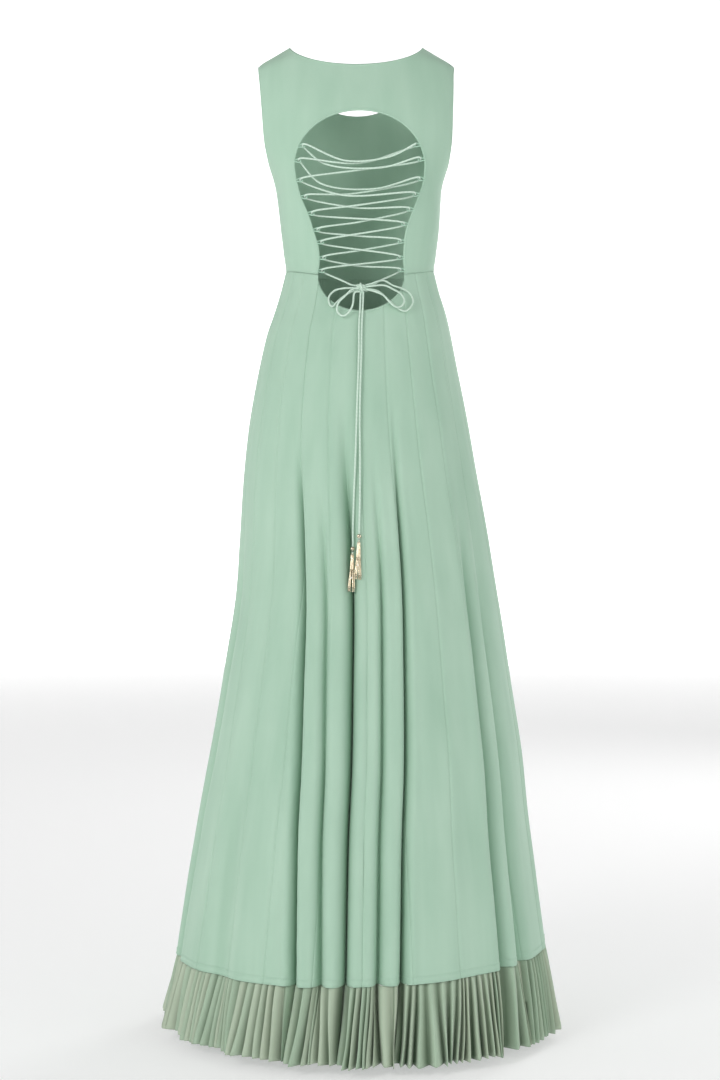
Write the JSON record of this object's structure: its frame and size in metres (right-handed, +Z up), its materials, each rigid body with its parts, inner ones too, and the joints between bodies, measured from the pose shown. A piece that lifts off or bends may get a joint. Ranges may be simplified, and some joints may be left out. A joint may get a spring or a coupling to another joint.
{
  "type": "anarkali gown",
  "caption": "Sleeveless mint green anarkali gown with a laced keyhole back, a bow with tasselled ends and a pleated hem ruffle.",
  "frame": {"origin": "midway between the two shoulder seams, where the wearer's shoulders carry the gown", "axes": "+Z up along the wearer, -Y towards the gown's front, +X towards the wearer's left"},
  "size_m": [0.6278, 0.6378, 1.5521],
  "materials": {
    "gown_cloth": "matt crepe",
    "ruffle_cloth": "matt pleated crepe",
    "lace_cord": "soft satin cord",
    "tassel_metal": "pale gold beads"
  },
  "bodies": {
    "root": {"bodice_back": "gown_cloth", "bodice_front": "gown_cloth", "kali_01": "gown_cloth", "kali_02": "gown_cloth", "kali_03": "gown_cloth", "kali_04": "gown_cloth", "kali_05": "gown_cloth", "kali_06": "gown_cloth", "kali_07": "gown_cloth", "kali_08": "gown_cloth", "kali_09": "gown_cloth", "kali_10": "gown_cloth", "kali_11": "gown_cloth", "kali_12": "gown_cloth", "kali_13": "gown_cloth", "kali_14": "gown_cloth", "kali_15": "gown_cloth", "kali_16": "gown_cloth", "kali_17": "gown_cloth", "kali_18": "gown_cloth", "kali_19": "gown_cloth", "kali_20": "gown_cloth", "kali_21": "gown_cloth", "kali_22": "gown_cloth", "kali_23": "gown_cloth", "kali_24": "gown_cloth", "ruffle_1": "ruffle_cloth", "ruffle_2": "ruffle_cloth", "ruffle_3": "ruffle_cloth", "ruffle_4": "ruffle_cloth", "loop_left_1": "gown_cloth", "loop_right_1": "gown_cloth", "loop_left_2": "gown_cloth", "loop_right_2": "gown_cloth", "loop_left_3": "gown_cloth", "loop_right_3": "gown_cloth", "loop_left_4": "gown_cloth", "loop_right_4": "gown_cloth", "loop_left_5": "gown_cloth", "loop_right_5": "gown_cloth", "loop_left_6": "gown_cloth", "loop_right_6": "gown_cloth", "loop_left_7": "gown_cloth", "loop_right_7": "gown_cloth", "loop_left_8": "gown_cloth", "loop_right_8": "gown_cloth", "loop_left_9": "gown_cloth", "loop_right_9": "gown_cloth", "lace_left": "lace_cord", "lace_right": "lace_cord", "bow_left_upper": "lace_cord", "bow_left_lower": "lace_cord", "bow_right_outer": "lace_cord", "bow_right_inner": "lace_cord", "tail_left": "lace_cord", "tail_right": "lace_cord", "bow_knot": "lace_cord", "tassel_left": "tassel_metal", "tassel_right": "tassel_metal"}
  },
  "joints": []
}
